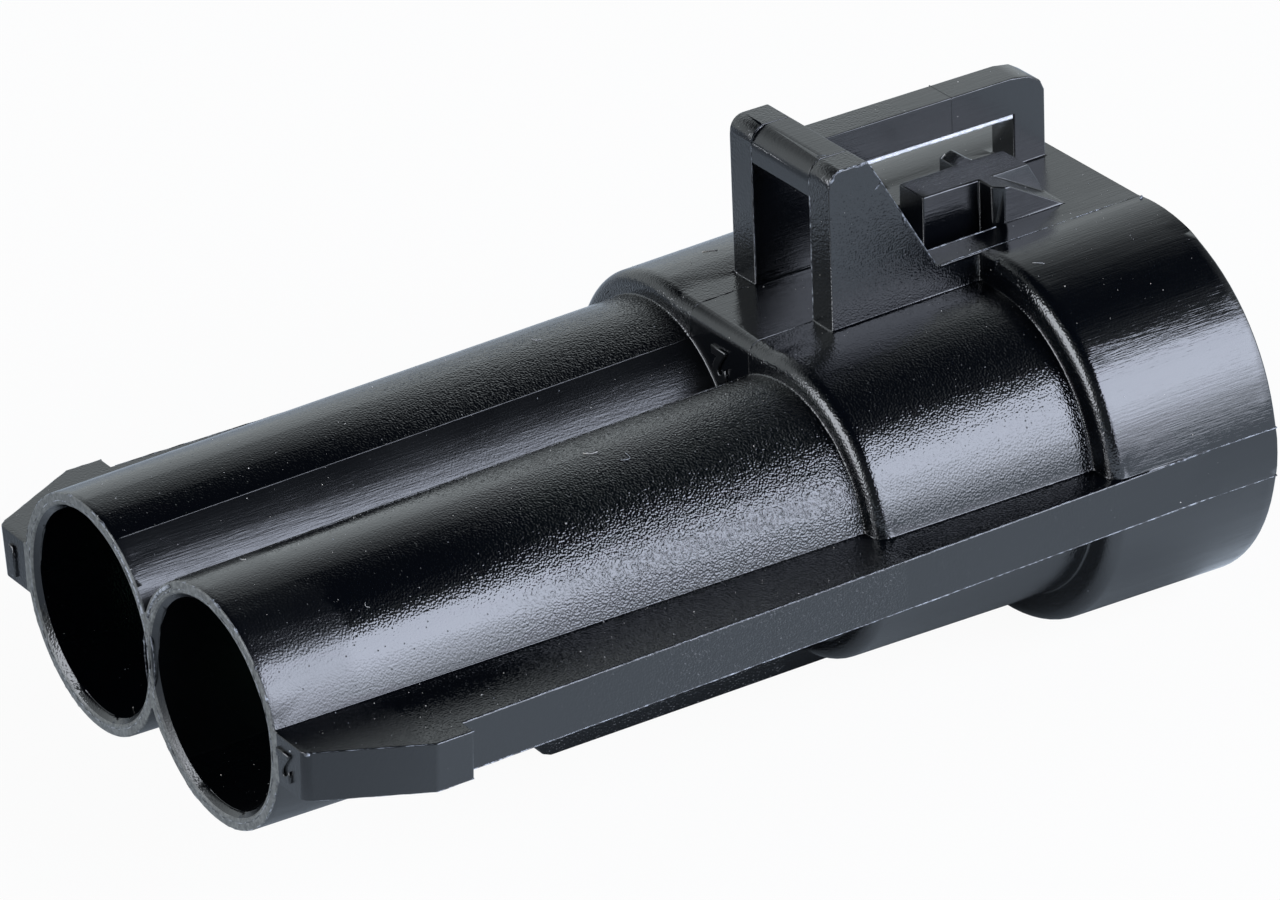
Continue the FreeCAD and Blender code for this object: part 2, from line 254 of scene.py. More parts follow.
soft_box("soft box", box_azimuth, 22, 0.62, 67, 50, 2.4, "#E2EAFF")
soft_box("soft box ring", box_azimuth, 28, 0.60, 54, 37, 2.6, "#E2EAFF")
soft_box("soft box middle", box_azimuth, 32, 0.58, 36, 27, 2.3, "#E2EAFF")
soft_box("soft box at the wire end", 170, 16, 0.60, 44, 44, 5.0, "#F2F6FF")

# %% [markdown]
# The floor is a paper sweep. The camera sees it white, with a trace of its real
# shadow. In reflections it is white too, but dimmer close to the part, where paper
# under a real part gets no light: ambient occlusion gives that. It also falls off
# away from the big soft box, and towards the wire end.

# %% Floor
shade_reach = 0.006  # metres, how far the part darkens mirrored paper
camera_white = 0.95  # the rest is lit paper with its shadow
away, towards = -0.035, 0.015  # metres from the middle towards the soft box
away_level, towards_level = 0.60, 1.10
wire_end, wire_side = -0.030, -0.018  # metres along the part
wire_end_level = 0.65
floor_half = 4  # metres

floor_material, net = new_material("pale paper sweep")
seen, mirrored = ray_kinds(net)
near_part = add_node(net, "ShaderNodeAmbientOcclusion", {"samples": 8}, {"Distance": shade_reach})
on_floor = add_node(net, "ShaderNodeTexCoord").outputs["Object"]
to_box = add_node(net, "ShaderNodeVectorMath", dot, {0: on_floor, 1: direction(box_azimuth)})
falls_off = add_node(net, "ShaderNodeMapRange", inputs={
    "Value": to_box.outputs["Value"], "From Min": away, "From Max": towards,
    "To Min": away_level, "To Max": towards_level})
floor_x = add_node(net, "ShaderNodeSeparateXYZ", inputs={"Vector": on_floor}).outputs["X"]
ends = add_node(net, "ShaderNodeMapRange", inputs={
    "Value": floor_x, "From Min": wire_end, "From Max": wire_side,
    "To Min": wire_end_level, "To Max": 1.0})
dimmed = add_node(net, "ShaderNodeMath", times, {0: falls_off, 1: ends})
dimmed = add_node(net, "ShaderNodeMath", times, {0: near_part.outputs["AO"], 1: dimmed})
dimmed = add_node(net, "ShaderNodeMath", times, {0: dimmed, 1: mirrored})
shown = add_node(net, "ShaderNodeMath", plus, {0: dimmed, 1: seen})
paper = add_node(net, "ShaderNodeBsdfDiffuse", inputs={"Color": linear("#F2F2F2")})
tint = add_node(net, "ShaderNodeMix", in_colour, {
    "Factor": seen, "A": linear("#DEEDFF"), "B": linear("#FFFFFF")})
white = add_node(net, "ShaderNodeEmission", inputs={
    "Color": tint.outputs["Result"], "Strength": shown})
camera_share = add_node(net, "ShaderNodeMath", times, {0: seen, 1: camera_white})
share = add_node(net, "ShaderNodeMath", greater_of, {0: mirrored, 1: camera_share})
blend = add_node(net, "ShaderNodeMixShader", inputs={0: share, 1: paper, 2: white})
add_node(net, "ShaderNodeOutputMaterial", inputs={"Surface": blend})
floor_mesh = bpy.data.meshes.new("floor")
corners = [(x * floor_half, y * floor_half, 0) for x, y in ((-1, -1), (1, -1), (1, 1), (-1, 1))]
floor_mesh.from_pydata(corners, [], [(0, 1, 2, 3)])
floor = bpy.data.objects.new("floor", floor_mesh)
floor_mesh.materials.append(floor_material)
scene.collection.objects.link(floor)
print("the floor is", 2 * floor_half, "m square")

# %% [markdown]
# The housing is one moulding of black nylon. A steel tool leaves its corners with a
# tiny radius, and that radius is what catches the light. So the CAD mesh is copied,
# its loose triangles are merged, flat neighbours are joined, and a bevel rounds the
# corners by 0.08 mm. Where a face is narrower than that, a bevel would cut through
# itself, so each edge carries a weight: the share that has room. Edges with none stay
# sharp. A corner bends the shading of the long faces that end in it, so cuts round the
# part, close to its ends and shoulders, keep that bend short.

# %% Housing: a merged copy with rounded corners
corner_radius = 0.08  # mm
corner_turn, flat_turn = 28, 0.8  # degrees: a corner turns by more, a flat by less
merge_within = 0.004  # mm
across_room, along_room = 0.42, 0.45
least_share = 0.3  # of the width; where there is less room, the edge stays sharp
rings = (0.3, mid_x - 0.3, mid_x + edge_round + 0.2,
         rear_x - 0.3, rear_x + edge_round + 0.2, length - 0.4)


def across_face(spot, inward, starts, ends):
    """How far the face reaches in front of a spot: the distance to the nearest edge that faces
    it, or a metre where there is none."""
    run = ends - starts
    at = np.clip(((spot - starts) * run).sum(1) / np.maximum((run * run).sum(1), 1e-30), 0, 1)
    gap = starts + at[:, None] * run - spot
    far = np.linalg.norm(gap, axis=1)
    facing = (far > 1e-7) & (gap @ inward > 0.5 * far)
    return far[facing].min() if facing.any() else 1.0


def stays_sharp(x, y, z):
    """The notch between the mouths, the top of the rear rim, and the thin ends of the rails."""
    return (x < 0.1 and abs(y) < 0.7) or (x > length - 0.3 and z > 7.0) \
        or (x > rear_x + edge_round and abs(y) > 11.2 and abs(z) < 1.3)


def bevel_shares(shape, width):
    """For each corner edge, the share of the width that has room: 0.42 of the way across each
    face, and 0.45 of the edges that leave its ends, measured square to it."""
    shares, outlines = {}, {}
    for edge in shape.edges:
        if not edge.is_manifold or edge.calc_length() < 1e-8 \
                or edge.calc_face_angle(0) < math.radians(corner_turn):
            continue
        run = (edge.verts[1].co - edge.verts[0].co).normalized()
        room = width
        for loop in edge.link_loops:
            if loop.face.index not in outlines:
                corners = np.array([v.co for v in loop.face.verts])
                outlines[loop.face.index] = corners, np.roll(corners, -1, axis=0)
            first, last = loop.vert, loop.link_loop_next.vert
            inward = np.array(loop.face.normal.cross((last.co - first.co).normalized()))
            for at in (0.15, 0.5, 0.85):
                spot = np.array(first.co.lerp(last.co, at))
                reach = across_face(spot, inward, *outlines[loop.face.index])
                room = min(room, across_room * reach)
            for beside, end in ((loop.link_loop_prev, first), (loop.link_loop_next, last)):
                leave = beside.edge.other_vert(end).co - end.co
                if leave.length > 1e-8 and leave.normalized().cross(run).length > 0.35:
                    room = min(room, along_room * leave.cross(run).length)
        middle = np.array(edge.verts[0].co + edge.verts[1].co) / 2 / mm - shift
        fits = room > least_share * width and not stays_sharp(*middle)
        shares[edge] = room / width if fits else 0.0
    return shares


def merged_copy(node, name):
    """The node's mesh with its doubles merged, its flat neighbours joined, a bevel weight on each
    corner edge, and the cuts round it."""
    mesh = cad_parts[node].data.copy()
    mesh.name = name
    shape = bmesh.new()
    shape.from_mesh(mesh)
    bmesh.ops.remove_doubles(shape, verts=shape.verts, dist=merge_within * mm)
    bmesh.ops.dissolve_limit(shape, angle_limit=math.radians(flat_turn),
                             verts=shape.verts, edges=shape.edges)
    shape.normal_update()
    shape.faces.index_update()
    weight = shape.edges.layers.float.new("bevel_weight_edge")
    for edge, share in bevel_shares(shape, corner_radius * mm).items():
        edge[weight] = share
        edge.smooth = bool(share > 0)
    for ring in rings:
        bmesh.ops.bisect_plane(shape, geom=shape.verts[:] + shape.edges[:] + shape.faces[:],
                               plane_co=place((ring, 0, 0)), plane_no=(1, 0, 0), dist=1e-7)
    open_edges = sum(not edge.is_manifold for edge in shape.edges)
    shape.to_mesh(mesh)
    shape.free()
    if "custom_normal" in mesh.attributes:
        mesh.attributes.remove(mesh.attributes["custom_normal"])
    mesh.shade_smooth()
    piece = bpy.data.objects.new(name, mesh)
    scene.collection.objects.link(piece)
    print(name, "has", len(mesh.polygons), "faces and", open_edges, "open edges")
    return piece


housing = merged_copy("housing", "moulded_housing")
rounding = housing.modifiers.new("corner radius", "BEVEL")
rounding.limit_method = "WEIGHT"
rounding.width = corner_radius * mm
rounding.segments = 3
rounding.use_clamp_overlap = False
shading = housing.modifiers.new("flats stay flat", "WEIGHTED_NORMAL")
shading.weight = 50
shading.keep_sharp = True
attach(housing, "root")
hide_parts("housing")

# %% [markdown]
# Black nylon, injection moulded. Soot makes it nearly black all through, so all that
# is seen is its skin. Spark-eroded steel leaves a pebbled grain of about 0.08 mm: fine
# on the front of the towers, coarser behind. A drawn steel insert forms the strip
# between the towers, with streaks along it. The channel is rougher, and the rear body
# and the strip on top of the middle body are polished. All that needs places on the
# drawing, in millimetres, and three noises: pebbles, streaks drawn out along the part,
# and slow waves.

# %% Black nylon: places and noises
grain_size = 0.077  # mm, one pebble of the spark-eroded finish
streak_width = 0.07  # mm, polishing marks along the part
wave_size = 3.0  # mm, slow waves where the melt flowed

nylon, net = new_material("black nylon, moulded against spark-eroded steel")
on_part = add_node(net, "ShaderNodeTexCoord").outputs["Object"]
split = add_node(net, "ShaderNodeSeparateXYZ", inputs={"Vector": on_part})
along = add_node(net, "ShaderNodeMath", times_plus, {
    0: split.outputs["X"], 1: 1 / mm, 2: length / 2})
across = add_node(net, "ShaderNodeMath", times, {0: split.outputs["Y"], 1: 1 / mm})
upward = add_node(net, "ShaderNodeMath", times_plus, {
    0: split.outputs["Z"], 1: 1 / mm, 2: -rest_z})
off_middle = add_node(net, "ShaderNodeMath", {"operation": "ABSOLUTE"}, {0: across})

pebbles = add_node(net, "ShaderNodeTexNoise", inputs={
    "Vector": on_part, "Scale": 1 / (grain_size * mm), "Detail": 0.5, "Roughness": 0.5})
drawn = add_node(net, "ShaderNodeMapping", inputs={
    "Vector": on_part, "Scale": (0.06, 1.0, 1.0)})
streaks = add_node(net, "ShaderNodeTexNoise", inputs={
    "Vector": drawn, "Scale": 1 / (streak_width * mm), "Detail": 2.0, "Roughness": 0.6})
waves = add_node(net, "ShaderNodeTexNoise", inputs={
    "Vector": on_part, "Scale": 1 / (wave_size * mm), "Detail": 4.0, "Roughness": 0.6})
print("grain of", grain_size, "mm and waves of", wave_size, "mm")

# %% [markdown]
# The insert's strip and the rear body show streaks and only a trace of the grain. In
# front the grain has a third of its depth, from 16 mm on all of it, and on the middle
# body less than half. Four bumps lie over each other: grain, small pits, which show
# as dark points in the highlights, streaks and waves.

# %% Black nylon: bumps
grain_depth, pit_depth, streak_depth, wave_depth = 0.036, 0.016, 0.009, 0.015  # mm
front_share, mid_share, polished_share = 0.30, 0.45, 0.15  # of the grain's depth
front_until, full_from = 7.0, 16.0  # mm
pit_cell, pit_middle, pit_edge = 0.30, 0.02, 0.13  # mm, then shares of the cell

insert = add_node(net, "ShaderNodeMapRange", smooth, {
    "Value": off_middle, "To Min": 1.0, "To Max": 0.0,
    "From Min": near_in - 0.02, "From Max": near_in + 0.02})
behind = add_node(net, "ShaderNodeMapRange", smooth, {
    "Value": along, "From Min": rear_x + 0.2, "From Max": rear_x + 0.6})
polished = add_node(net, "ShaderNodeMath", greater_of, {0: insert, 1: behind})
coarser = add_node(net, "ShaderNodeMapRange", smooth, {
    "Value": along, "To Min": front_share, "To Max": 1.0,
    "From Min": front_until, "From Max": full_from})
finer = add_node(net, "ShaderNodeMapRange", smooth, {
    "Value": along, "To Min": 1.0, "To Max": mid_share,
    "From Min": mid_x - 0.1, "From Max": mid_x + 0.1})
full = add_node(net, "ShaderNodeMath", times, {0: coarser, 1: finer})
left_over = add_node(net, "ShaderNodeMapRange", inputs={
    "Value": polished, "To Min": 1.0, "To Max": polished_share})
depth = add_node(net, "ShaderNodeMath", times, {0: full, 1: left_over})
grain = add_node(net, "ShaderNodeBump", inputs={
    "Height": pebbles, "Distance": grain_depth * mm, "Strength": depth})

cells = add_node(net, "ShaderNodeTexVoronoi", inputs={
    "Vector": on_part, "Scale": 1 / (pit_cell * mm)})
pits = add_node(net, "ShaderNodeMapRange", smooth, {
    "Value": cells.outputs["Distance"], "To Min": 0.0, "To Max": 1.0,
    "From Min": pit_middle, "From Max": pit_edge})
pit_share = add_node(net, "ShaderNodeMath", times, {0: left_over, 1: 0.6})
pitted = add_node(net, "ShaderNodeBump", inputs={
    "Height": pits, "Distance": pit_depth * mm, "Strength": pit_share, "Normal": grain})
marks = add_node(net, "ShaderNodeMapRange", inputs={
    "Value": polished, "To Min": 0.05, "To Max": 0.9})
brushed = add_node(net, "ShaderNodeBump", inputs={
    "Height": streaks, "Distance": streak_depth * mm, "Strength": marks, "Normal": pitted})
flow = add_node(net, "ShaderNodeBump", inputs={
    "Height": waves, "Distance": wave_depth * mm, "Strength": 0.5, "Normal": brushed})
print("the grain is", grain_depth, "mm deep where it is full")

# %% [markdown]
# The skin is fairly glossy. The near tower's mouth is rubbed matt, with a ragged edge
# that the waves give. Between the towers the strip is rougher, and in the channel
# behind the guard's front too. A number named "more" is added to the roughness there.

# %% Black nylon: roughness
skin_rough, polished_rough = 0.07, 0.10
rubbed_more, insert_more, channel_more, rim_more = 0.16, 0.19, 0.10, 0.24
rubbed_until, rubbed_gone, raggedness = 5.6, 6.4, 5.0  # mm
channel_floor = 6.3  # mm, above the tower axes

ragged_edge = add_node(net, "ShaderNodeMath", times_plus, {0: waves, 1: raggedness, 2: along})
rubbed = add_node(net, "ShaderNodeMapRange", smooth, {
    "Value": ragged_edge, "To Min": rubbed_more, "To Max": 0.0,
    "From Min": rubbed_until, "From Max": rubbed_gone})
near_side = add_node(net, "ShaderNodeMath", is_below, {0: across, 1: -near_in})
rubbed = add_node(net, "ShaderNodeMath", times, {0: rubbed, 1: near_side})
before_mid = add_node(net, "ShaderNodeMath", is_below, {0: along, 1: mid_x - 0.05})
drawn_steel = add_node(net, "ShaderNodeMath", times, {0: insert, 1: before_mid})
behind_guard = add_node(net, "ShaderNodeMath", is_above, {0: along, 1: guard_x + 0.05})
above_body = add_node(net, "ShaderNodeMath", is_above, {0: upward, 1: channel_floor})
channel = add_node(net, "ShaderNodeMath", times, {0: behind_guard, 1: above_body})
channel = add_node(net, "ShaderNodeMath", times, {0: channel, 1: insert})
roughness = add_node(net, "ShaderNodeMapRange", inputs={
    "Value": polished, "To Min": skin_rough, "To Max": polished_rough})
for where, more in ((drawn_steel, insert_more), (channel, channel_more)):
    roughness = add_node(net, "ShaderNodeMath", times_plus, {0: where, 1: more, 2: roughness})
patchy = add_node(net, "ShaderNodeMapRange", inputs={
    "Value": waves, "From Min": 0.3, "From Max": 0.7, "To Min": -0.02, "To Max": 0.03})
for more in (patchy, rubbed):
    roughness = add_node(net, "ShaderNodeMath", plus, {0: roughness, 1: more})
print("roughness starts from", skin_rough)

# %% [markdown]
# The rims of the mouths are rubbed pale and matt, the flags beside them are not. With
# its colour, roughness and bumps the skin is complete, and it goes on the housing.

# %% Black nylon: rims, colour and the finished skin
rim_depth, flags_from, scuff_size = 0.06, 4.68, 0.20  # mm
nylon_index = 1.70

on_rim = add_node(net, "ShaderNodeMath", is_below, {0: along, 1: rim_depth})
off_flags = add_node(net, "ShaderNodeMath", is_below, {0: off_middle, 1: axis_y + flags_from})
on_rim = add_node(net, "ShaderNodeMath", times, {0: on_rim, 1: off_flags})
roughness = add_node(net, "ShaderNodeMath", times_plus, {0: on_rim, 1: rim_more, 2: roughness})
scuffs = add_node(net, "ShaderNodeTexNoise", inputs={
    "Vector": on_part, "Scale": 1 / (scuff_size * mm), "Detail": 3.0, "Roughness": 0.7})
rubbing = add_node(net, "ShaderNodeMapRange", inputs={
    "Value": scuffs, "From Min": 0.40, "From Max": 0.65, "To Min": 0.40, "To Max": 1.0})
rubbing = add_node(net, "ShaderNodeMath", times, {0: rubbing, 1: on_rim})
colour = add_node(net, "ShaderNodeMix", in_colour, {
    "Factor": rubbing, "A": linear("#06080C"), "B": linear("#70726F")})
skin = add_node(net, "ShaderNodeBsdfPrincipled", inputs={
    "Base Color": colour.outputs["Result"], "Roughness": roughness, "IOR": nylon_index,
    "Normal": flow})
add_node(net, "ShaderNodeOutputMaterial", inputs={"Surface": skin})
housing.data.materials.clear()
housing.data.materials.append(nylon)
print(nylon.name, "has", len(net.nodes), "nodes")

# %% [markdown]
# Where flash tears off or an edge is rubbed, nylon turns pale: the torn skin scatters
# light. The pale colour is also a painted highlight, standing in for the glints that these
# thin lines catch. That is a second finish of the same plastic, used on the ragged lines only.
# Dust is a pale, fully matt grit.

# %% Torn nylon, painted pale for its glints, and dust
def make_pale_flash_nylon(name, dark, light):
    """Nylon whose skin is torn: dark and light by turns, and half matt. The light colour is partly
    painted highlight.
    """
    material, net = new_material(name)
    on_part = add_node(net, "ShaderNodeTexCoord").outputs["Object"]
    tears = add_node(net, "ShaderNodeTexNoise", inputs={
        "Vector": on_part, "Scale": 1 / (0.25 * mm), "Detail": 3.0, "Roughness": 0.6})
    pale = add_node(net, "ShaderNodeValToRGB", inputs={"Fac": tears})
    for stop, at, colour in zip(pale.color_ramp.elements, (0.42, 0.60), (dark, light)):
        stop.position, stop.color = at, linear(colour)
    rough_skin = add_node(net, "ShaderNodeBump", inputs={
        "Height": tears, "Distance": 0.01 * mm, "Strength": 0.6})
    torn = add_node(net, "ShaderNodeBsdfPrincipled", inputs={
        "Base Color": pale, "Roughness": 0.38, "IOR": 1.53, "Normal": rough_skin})
    add_node(net, "ShaderNodeOutputMaterial", inputs={"Surface": torn})
    return material


def make_dust():
    """Grey to pale grit with hardly any shine."""
    material, net = new_material("household dust")
    on_part = add_node(net, "ShaderNodeTexCoord").outputs["Object"]
    mixed = add_node(net, "ShaderNodeTexNoise", inputs={
        "Vector": on_part, "Scale": 1 / (0.8 * mm), "Detail": 1.0})
    tone = add_node(net, "ShaderNodeValToRGB", inputs={"Fac": mixed})
    for stop, at, colour in zip(tone.color_ramp.elements, (0.35, 0.65), ("#8F9398", "#DAD5CC")):
        stop.position, stop.color = at, linear(colour)
    grit = add_node(net, "ShaderNodeBsdfPrincipled", inputs={
        "Base Color": tone, "Roughness": 0.9, "Specular IOR Level": 0.2})
    add_node(net, "ShaderNodeOutputMaterial", inputs={"Surface": grit})
    return material


# Pale flash: torn, whitened skin, and a painted highlight for the glints along the lines.
torn_and_glint_painted_nylon = make_pale_flash_nylon("black nylon, torn at the flash and whitened",
                             "#26282C", "#A4A9B0")
# The fin under the window is painted nearly white: a painted highlight on real flash.
painted_highlight_nylon = make_pale_flash_nylon("black nylon, stretched white where the window was cut free",
                                  "#DCDFE3", "#FAFBFC")
dust = make_dust()
print("also ready:", torn_and_glint_painted_nylon.name, "and", dust.name)

# %% [markdown]
# The terminals are rolled brass strip with a thin coat of tin: fine lines run along
# it. The seals are soft silicone rubber with an uneven film of oil.

# %% Tinned brass and oiled silicone, for the pieces inside
def make_tin():
    """Metal with lines drawn out along the strip, which also vary its shine."""
    material, net = new_material("brass strip, tin plated")
    on_part = add_node(net, "ShaderNodeTexCoord").outputs["Object"]
    rolled = add_node(net, "ShaderNodeMapping", inputs={
        "Vector": on_part, "Scale": (200.0, 4000.0, 4000.0)})
    streaks = add_node(net, "ShaderNodeTexNoise", inputs={
        "Vector": rolled, "Scale": 1.0, "Detail": 3.0})
    roughness = add_node(net, "ShaderNodeMapRange", inputs={
        "Value": streaks, "From Min": 0.3, "From Max": 0.7, "To Min": 0.22, "To Max": 0.36})
    lines = add_node(net, "ShaderNodeBump", inputs={
        "Height": streaks, "Distance": 0.002 * mm, "Strength": 0.6})
    metal = add_node(net, "ShaderNodeBsdfPrincipled", inputs={
        "Base Color": linear("#C9C7C1"), "Metallic": 1.0, "Roughness": roughness,
        "Normal": lines})
    add_node(net, "ShaderNodeOutputMaterial", inputs={"Surface": metal})
    return material


def make_silicone():
    """Rubber that lets a little light in, with a film that varies its shine."""
    material, net = new_material("silicone rubber, moulded and oiled")
    on_part = add_node(net, "ShaderNodeTexCoord").outputs["Object"]
    film = add_node(net, "ShaderNodeTexNoise", inputs={
        "Vector": on_part, "Scale": 1 / (0.6 * mm), "Detail": 2.0})
    roughness = add_node(net, "ShaderNodeMapRange", inputs={
        "Value": film, "From Min": 0.3, "From Max": 0.7, "To Min": 0.32, "To Max": 0.5})
    matt = add_node(net, "ShaderNodeBump", inputs={
        "Height": film, "Distance": 0.008 * mm, "Strength": 0.4})
    rubber = add_node(net, "ShaderNodeBsdfPrincipled", inputs={
        "Base Color": linear("#36503F"), "Roughness": roughness, "IOR": 1.41, "Normal": matt,
        "Subsurface Weight": 0.08, "Subsurface Radius": (0.0006, 0.0008, 0.0005)})
    add_node(net, "ShaderNodeOutputMaterial", inputs={"Surface": rubber})
    return material


tin, silicone = make_tin(), make_silicone()
for side in ("near", "far"):
    for node, material in (("terminal_" + side, tin), ("wire_seal_" + side, silicone)):
        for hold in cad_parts[node].material_slots:
            hold.material = material
print("terminals are", tin.name, "and seals are", silicone.name)

# %% [markdown]
# Where two blocks of the mould meet, the melt leaves a hair of plastic. Each line is a
# low ridge: a five-sided section carried along a path, with its foot sunk in the skin.
# A path is a row of points worked out from the drawing, with the direction out of the
# skin at each, so the ridge stays on the part from any side.

# %% Ridges along a path
section_across = np.array([-0.5, -0.24, 0.0, 0.24, 0.5])
section_up = np.array([0.0, 0.8, 1.0, 0.8, 0.0])
sides = len(section_up)
weakest = 0.06


def unit(rows):
    """Each row divided by its own length."""
    rows = np.asarray(rows, dtype=float)
    return rows / np.linalg.norm(rows, axis=-1, keepdims=True)


def columns(*values):
    """Numbers and rows side by side as the columns of one array, numbers repeated."""
    return np.stack(np.broadcast_arrays(*[np.asarray(v, dtype=float) for v in values]), axis=-1)


def ragged(count, seed, low, high, step):
    """Uneven strength along a line of that many points: seeded random levels from low to high,
    a new one every few points, with straight runs between."""
    levels = np.random.default_rng(seed).uniform(low, high, count // step + 2)
    line = np.interp(np.arange(count), np.arange(len(levels)) * step, levels)
    return np.clip(line, weakest, None)


def ridge(path, out, width, height, strength=1.0, sink=0.02):
    """Point i, j of the grid is path i, plus the width times section j to the side, plus its
    height outwards, less the sink, in millimetres. The side is the run of the path crossed with
    the way out of the skin. The strength scales the height, and its square root the width."""
    path = np.asarray(path, dtype=float)
    ahead = unit(np.gradient(path, axis=0))
    out = np.broadcast_to(np.asarray(out, dtype=float), path.shape)
    out = unit(out - (out * ahead).sum(1, keepdims=True) * ahead)
    side = np.cross(ahead, out)
    strength = np.broadcast_to(np.asarray(strength, dtype=float), len(path))[:, None, None]
    wide = side[:, None, :] * (section_across[None, :, None] * width * np.sqrt(strength))
    tall = out[:, None, :] * (section_up[None, :, None] * (height * strength + sink) - sink)
    points = (path[:, None, :] + wide + tall).reshape(-1, 3)
    ring = np.arange(sides)
    after = (ring + 1) % sides
    step = (np.arange(len(path) - 1) * sides)[:, None]
    quads = np.stack([step + ring, step + after, step + sides + after, step + sides + ring],
                     axis=-1).reshape(-1, 4)
    caps = [list(range(sides)), list(range(len(points) - sides, len(points)))]
    return points, quads, caps


def face_outwards(mesh, merge=0.0):
    """Merge corners that lie nearer than that, in millimetres, and turn the faces outwards."""
    shape = bmesh.new()
    shape.from_mesh(mesh)
    if merge:
        bmesh.ops.remove_doubles(shape, verts=shape.verts, dist=merge * mm)
    bmesh.ops.recalc_face_normals(shape, faces=shape.faces)
    shape.to_mesh(mesh)
    shape.free()


def on_the_part(name, mesh, material):
    """The mesh as a piece of that material, which stays with the part."""
    mesh.materials.clear()
    mesh.materials.append(material)
    piece = bpy.data.objects.new(name, mesh)
    scene.collection.objects.link(piece)
    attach(piece, "root")
    print(name, "has", len(mesh.polygons), "faces")


def piece_from(name, ridges, material):
    """All ridges as one mesh: a ridge's corner numbers are raised by the corners before it."""
    starts = np.cumsum([0] + [len(points) for points, quads, caps in ridges[:-1]])
    corners = place(np.concatenate([points for points, quads, caps in ridges]))
    faces, ends = [], []
    for (points, quads, caps), start in zip(ridges, starts.tolist()):
        faces += (quads + start).tolist()
        ends += [[i + start for i in cap] for cap in caps]
    mesh = bpy.data.meshes.new(name)
    mesh.from_pydata(corners.tolist(), [], faces + ends)
    face_outwards(mesh)
    mesh.shade_smooth()
    on_the_part(name, mesh, material)


def post_line(y, from_angle=0.0):
    """Up the post's rounded corner and back along its top, at one width: points and ways out."""
    a = np.radians(np.linspace(from_angle, 90, 24))
    back = np.linspace(guard_x + post_round + 0.05, guard_back - 0.12, 22)
    x = np.concatenate([guard_x + post_round - post_round * np.cos(a), back])
    z = np.concatenate([guard_top - post_round + post_round * np.sin(a), np.full(22, guard_top)])
    out = columns(np.concatenate([-np.cos(a), np.zeros(22)]), 0.0,
                  np.concatenate([np.sin(a), np.ones(22)]))
    return columns(x, y, z), out


print("a ridge has", sides, "sides")

# %% [markdown]
# The strip between the towers is formed by an insert of its own, 3.9 mm wide, so two
# seams run along the towers, over the middle body's front edge and up to the guard.
# Two more cross the guard's bar, and one closes the side bar near its middle. The
# tool's halves leave one more on each tower, over the rail, and beside the guard.

# %% Seams of the mould's insert
reach = axis_y - near_in
bend = np.radians(np.linspace(0, 90, 16))
flat_x = np.linspace(25.4, guard_x, 30)
up_x = np.concatenate([np.full(6, mid_x), mid_x + edge_round * (1 - np.cos(bend)), flat_x])
up_z = np.concatenate([np.linspace(4.56, 5.2, 6), mid_flat - edge_round * (1 - np.sin(bend)),
                       mid_size(mid_flat, flat_x)])
up_out = columns(np.concatenate([np.full(6, -1.0), -np.cos(bend), np.zeros(30)]), 0.0,
                 np.concatenate([np.zeros(6), np.sin(bend), np.ones(30)]))
seams = []
for side in (-1, 1):
    x = np.linspace(0.25, mid_x, 420)
    z = np.sqrt(tower_radius(x) ** 2 - reach ** 2)
    seams.append(ridge(columns(x, side * near_in, z), columns(0.0, -side * reach, z),
                       0.075, 0.028, ragged(420, 11 + side, 0.45, 1.1, 12)))
    seams.append(ridge(columns(up_x, side * near_in, up_z), up_out,
                       0.07, 0.026, ragged(52, 15 + side, 0.4, 1.2, 4)))
for y in (-near_in, far_in):
    line, out = post_line(y)
    seams.append(ridge(line, out, 0.07, 0.03, ragged(46, 20, 0.5, 1.2, 3)))
bar_z, bar_y = np.linspace(bar_under, bar_top, 12), np.linspace(far_in, wall_out, 12)
for y, z, out in ((far_in, bar_z, (0, -1, 0)), (bar_y, bar_top, (0, 0, 1)),
                  (wall_out, bar_z, (0, 1, 0))):
    seams.append(ridge(columns(bar_seam, y, z), out, 0.05, 0.015))
for side in (-1, 1):
    x = np.linspace(0.2, mid_x - 0.02, 300)
    y = axis_y + np.sqrt(tower_radius(x) ** 2 - rail_z ** 2)
    seams.append(ridge(columns(x, side * y, rail_z), (0, side * 0.62, 0.78),
                       0.07, 0.022, ragged(300, 30, 0.3, 1.0, 10)))
    x = np.linspace(guard_x, rear_x, 120)
    z = np.sqrt(mid_size(mid_r, x) ** 2 - (axis_y - wall_out) ** 2)
    seams.append(ridge(columns(x, side * wall_out, z), (0, side * 0.7, 0.7),
                       0.06, 0.02, ragged(120, 33, 0.2, 1.2, 7)))
piece_from("mould_seams", seams, nylon)

# %% [markdown]
# The two halves of the tool part along the rails, so flash runs along both edges of
# each rail and on over the rear body, where the rail sinks into it. It is thin and
# torn, and stands a little past the rear end. The flags' noses carry some as well.

# %% Flash along the rails
rail_start, wide_from = 5.75, 36.6  # mm; from there on the flash is wider and higher
nose = np.array([[0.30, 10.90], [4.10, 12.98], [5.60, 12.98]]) - [0.0, 0.02]
nose_knots, nose_at = [0.0, 0.72, 1.0], np.linspace(0, 1, 90)

